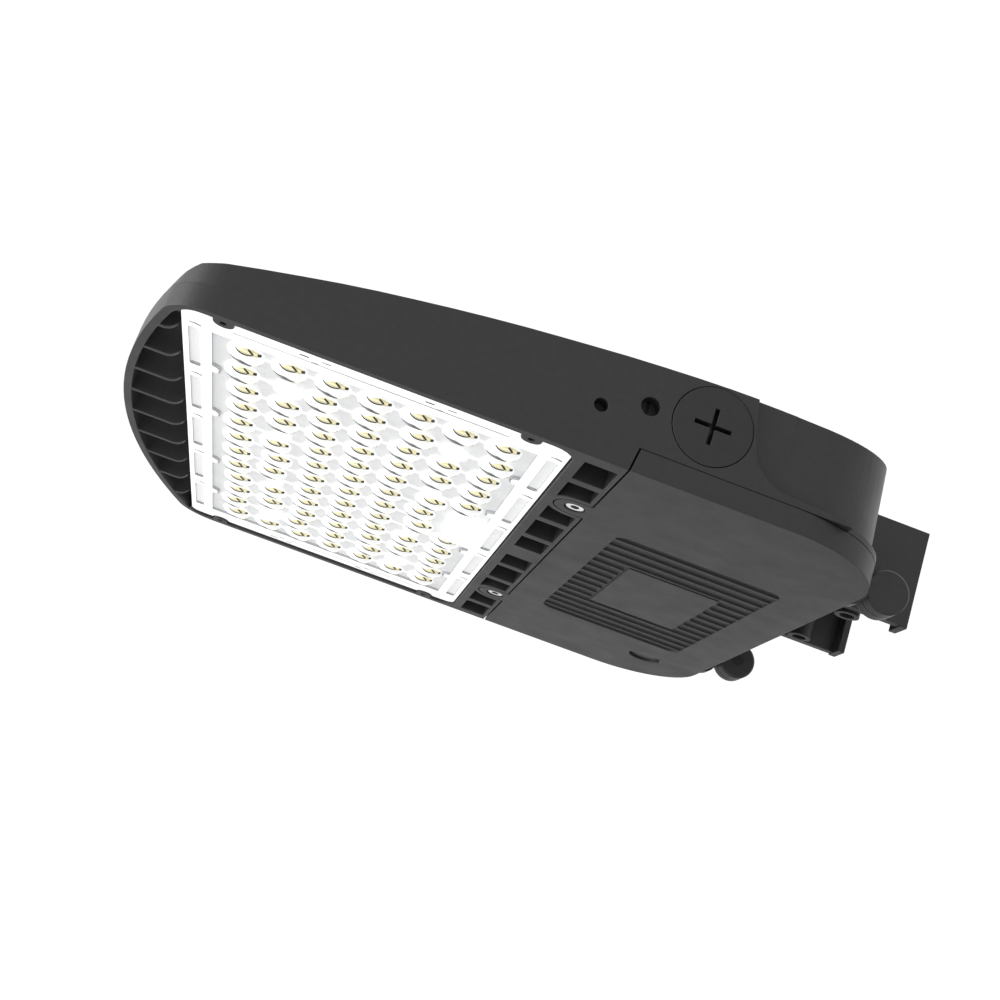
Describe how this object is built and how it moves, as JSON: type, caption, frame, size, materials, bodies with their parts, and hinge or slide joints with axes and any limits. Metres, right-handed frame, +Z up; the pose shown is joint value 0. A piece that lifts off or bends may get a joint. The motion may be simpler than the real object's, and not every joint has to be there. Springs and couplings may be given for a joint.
{
  "type": "area light",
  "caption": "Flat LED area light head for a pole, with finned housing, lens panel, hinged driver door underneath and a short bolt-on arm.",
  "frame": {"origin": "middle of the two pole bolt holes, on the arm's pole mounting face", "axes": "+Z up, +X out of the mounting face towards the pole, so the head reaches along -X; Y across the head"},
  "size_m": [0.3565, 0.3028, 0.0655],
  "materials": {
    "housing_paint": "die-cast aluminium with a near-black textured powder coat",
    "lens_clear": "clear moulded optical plastic",
    "seal_pale": "pale silicone",
    "board_white": "white solder mask on an aluminium core board",
    "led_yellow": "yellow phosphor",
    "steel": "stainless steel",
    "steel_dark": "blackened steel",
    "cover_white": "white moulded plastic",
    "wire_red": "PVC insulation",
    "wire_black": "PVC insulation",
    "wire_mains": "PVC insulation",
    "rubber_black": "black silicone",
    "driver_case": "extruded aluminium",
    "plastic_black": "black moulded plastic",
    "surge_body": "potted black plastic box",
    "terminal_plastic": "cream moulded plastic",
    "ground_green": "green passivated steel",
    "vent_plastic": "dark moulded plastic with a pale membrane"
  },
  "bodies": {
    "head": {"housing": "housing_paint", "lens_panel": "lens_clear", "lens_gasket": "seal_pale", "led_board": "board_white", "led_chips": "led_yellow", "lens_screws": "steel", "wire_cover": "cover_white", "led_connector": "cover_white", "led_lead_plus": "wire_red", "led_lead_minus": "wire_black", "lead_grommet": "rubber_black", "driver": "driver_case", "driver_end_caps": "plastic_black", "driver_screws": "steel", "driver_input_leads": "wire_mains", "surge_protector": "surge_body", "surge_screws": "steel", "terminal_block": "terminal_plastic", "terminal_screws": "steel", "ground_screw": "ground_green", "near_plug": "housing_paint", "far_plug": "housing_paint", "near_plug_seal": "rubber_black", "far_plug_seal": "rubber_black", "arm": "housing_paint", "arm_gasket": "rubber_black", "arm_bolts": "steel", "arm_washers": "steel", "near_hinge_pin": "steel", "far_hinge_pin": "steel"},
    "door": {"driver_door": "housing_paint", "door_gasket": "rubber_black", "near_door_screw": "steel", "far_door_screw": "steel", "near_screw_retainer": "steel_dark", "far_screw_retainer": "steel_dark", "door_vent": "vent_plastic"}
  },
  "joints": [
    {"name": "door_hinge", "type": "hinge", "parent": "head", "child": "door", "pos_m": [-0.0338, 0, -0.0396], "axis": [0, -1, 0], "range_deg": [0, 95]}
  ]
}
